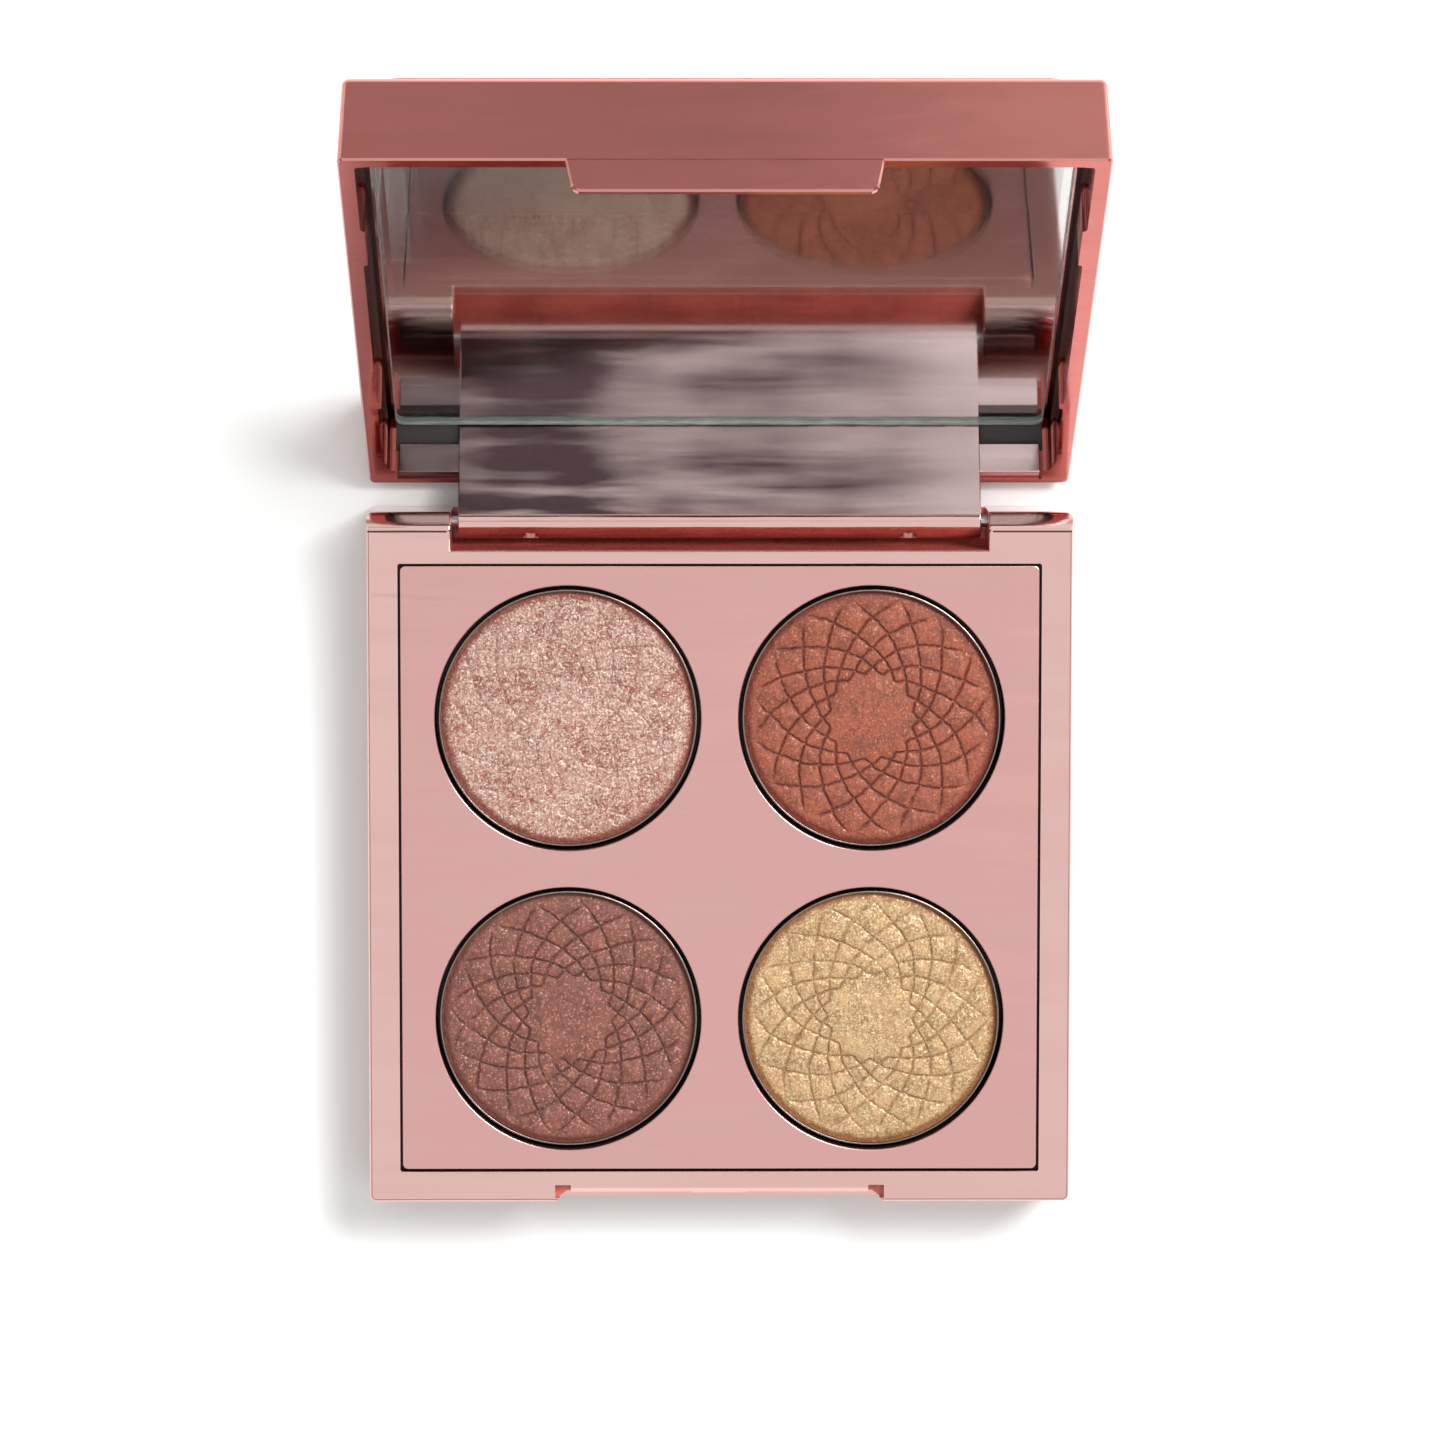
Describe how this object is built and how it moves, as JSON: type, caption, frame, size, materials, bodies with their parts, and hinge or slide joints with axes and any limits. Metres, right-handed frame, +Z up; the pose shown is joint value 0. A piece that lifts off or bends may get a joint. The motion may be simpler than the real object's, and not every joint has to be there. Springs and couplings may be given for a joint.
{
  "type": "eyeshadow palette",
  "caption": "Square hinged make-up compact: a base with round pans of embossed pressed powder and a deep lid that holds a mirror.",
  "frame": {"origin": "centre of the base's flat underside", "axes": "+X to the right, +Y towards the hinge, +Z up"},
  "size_m": [0.0716, 0.1148, 0.0651],
  "materials": {
    "rose_casing": "metallised rose gold, high gloss",
    "rose_insert": "metallised rose gold, satin",
    "pan_metal": "bright drawn aluminium",
    "powder_champagne": "pressed powder, champagne pink with coarse glitter",
    "powder_terracotta": "pressed powder, terracotta satin",
    "powder_plum": "pressed powder, plum brown with fine glitter",
    "powder_gold": "pressed powder, golden shimmer",
    "glue": "hardened hot-melt glue",
    "pin_steel": "bright steel wire",
    "label_paper": "blank satin label",
    "mirror_glass": "clear float glass with a greenish edge",
    "mirror_silver": "silvering with backing paint",
    "tape": "double-sided foam tape"
  },
  "bodies": {
    "base": {"base_shell": "rose_casing", "insert_tray": "rose_insert", "pan_champagne": "pan_metal", "pan_terracotta": "pan_metal", "pan_plum": "pan_metal", "pan_gold": "pan_metal", "powder_champagne": "powder_champagne", "powder_terracotta": "powder_terracotta", "powder_plum": "powder_plum", "powder_gold": "powder_gold", "pan_glue": "glue", "tray_glue": "glue", "hinge_pin_left": "pin_steel", "hinge_pin_right": "pin_steel", "base_label": "label_paper"},
    "lid": {"lid_shell": "rose_casing", "lid_frame": "rose_casing", "mirror_glass": "mirror_glass", "mirror_silver": "mirror_silver", "mirror_tape": "tape", "cover_plate": "rose_casing", "cover_tape": "tape"}
  },
  "joints": [
    {"name": "lid_hinge", "type": "hinge", "parent": "base", "child": "lid", "pos_m": [0, 0.0341, 0.0052], "axis": [-1, 0, 0], "range_deg": [-119, 0]}
  ]
}
